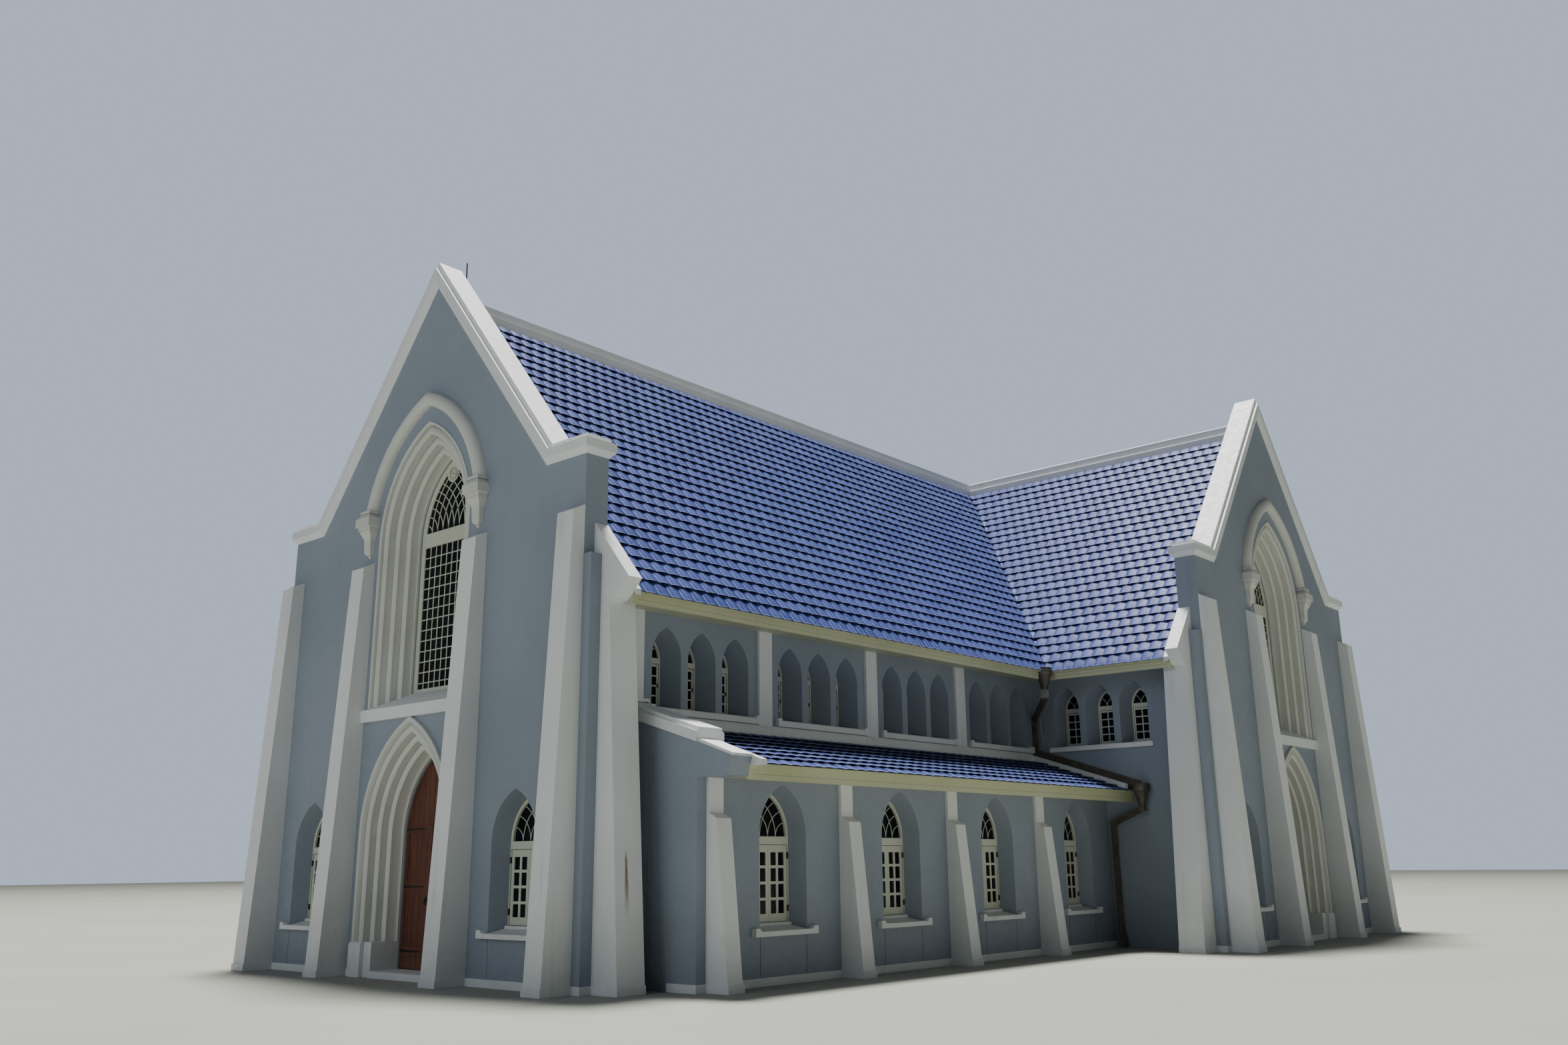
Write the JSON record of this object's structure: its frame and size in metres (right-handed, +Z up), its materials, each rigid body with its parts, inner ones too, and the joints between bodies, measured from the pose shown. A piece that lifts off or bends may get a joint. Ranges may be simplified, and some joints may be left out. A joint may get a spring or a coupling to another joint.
{
  "type": "church building",
  "caption": "Pointed-arch church with a steep tiled roof, lean-to aisles with buttresses, a transept across the rear, and gables with a great window over a moulded portal.",
  "frame": {"origin": "bottom centre of the bounding box", "axes": "+Z up, -Y out of the front gable, +X towards the side whose aisle and transept gable the picture shows"},
  "size_m": [16.244, 21.379, 11.744],
  "materials": {
    "grey_render": "painted render, matt, light grey",
    "white_stone": "painted render, matt, white with grime",
    "cream_stone": "painted mouldings, matt, cream white",
    "cream_frames": "satin cream paint on frames, dark clear glass between the bars",
    "cream_eaves": "satin cream paint on fascia and soffit",
    "blue_tiles": "glossy dark blue glaze",
    "door_timber": "stained timber, satin",
    "bronze_metal": "dark bronze paint, satin",
    "floor_stone": "smooth stone paving, matt"
  },
  "bodies": {
    "root": {"front_wall": "grey_render", "front_coping": "white_stone", "front_mouldings": "cream_stone", "front_hood_mould": "white_stone", "front_buttresses_a": "white_stone", "front_buttresses_b": "white_stone", "front_lower_windows": "cream_frames", "front_great_window": "cream_frames", "front_doors": "door_timber", "right_wall": "grey_render", "right_coping": "white_stone", "right_mouldings": "cream_stone", "right_hood_mould": "white_stone", "right_buttresses_a": "white_stone", "right_buttresses_b": "white_stone", "right_lower_windows": "cream_frames", "right_great_window": "cream_frames", "right_doors": "door_timber", "left_wall": "grey_render", "left_coping": "white_stone", "left_mouldings": "cream_stone", "left_hood_mould": "white_stone", "left_buttresses_a": "white_stone", "left_buttresses_b": "white_stone", "left_lower_windows": "cream_frames", "left_great_window": "cream_frames", "left_doors": "door_timber", "right_nave_wall": "grey_render", "right_upper_windows": "cream_frames", "right_clerestory_trim": "white_stone", "right_aisle_wall": "grey_render", "right_aisle_coping": "white_stone", "right_aisle_roof": "blue_tiles", "right_aisle_eaves": "cream_eaves", "right_aisle_buttresses": "white_stone", "right_aisle_windows": "cream_frames", "right_main_eaves": "cream_eaves", "right_rainwater_pipes": "bronze_metal", "left_nave_wall": "grey_render", "left_upper_windows": "cream_frames", "left_clerestory_trim": "white_stone", "left_aisle_wall": "grey_render", "left_aisle_coping": "white_stone", "left_aisle_roof": "blue_tiles", "left_aisle_eaves": "cream_eaves", "left_aisle_buttresses": "white_stone", "left_aisle_windows": "cream_frames", "left_main_eaves": "cream_eaves", "left_rainwater_pipes": "bronze_metal", "rear_wall": "grey_render", "rear_windows": "cream_frames", "rear_buttresses": "white_stone", "rear_eaves": "cream_eaves", "nave_roof": "blue_tiles", "transept_roof": "blue_tiles", "ridge_cap": "white_stone", "floor_slab": "floor_stone", "lightning_rod": "bronze_metal"}
  },
  "joints": []
}
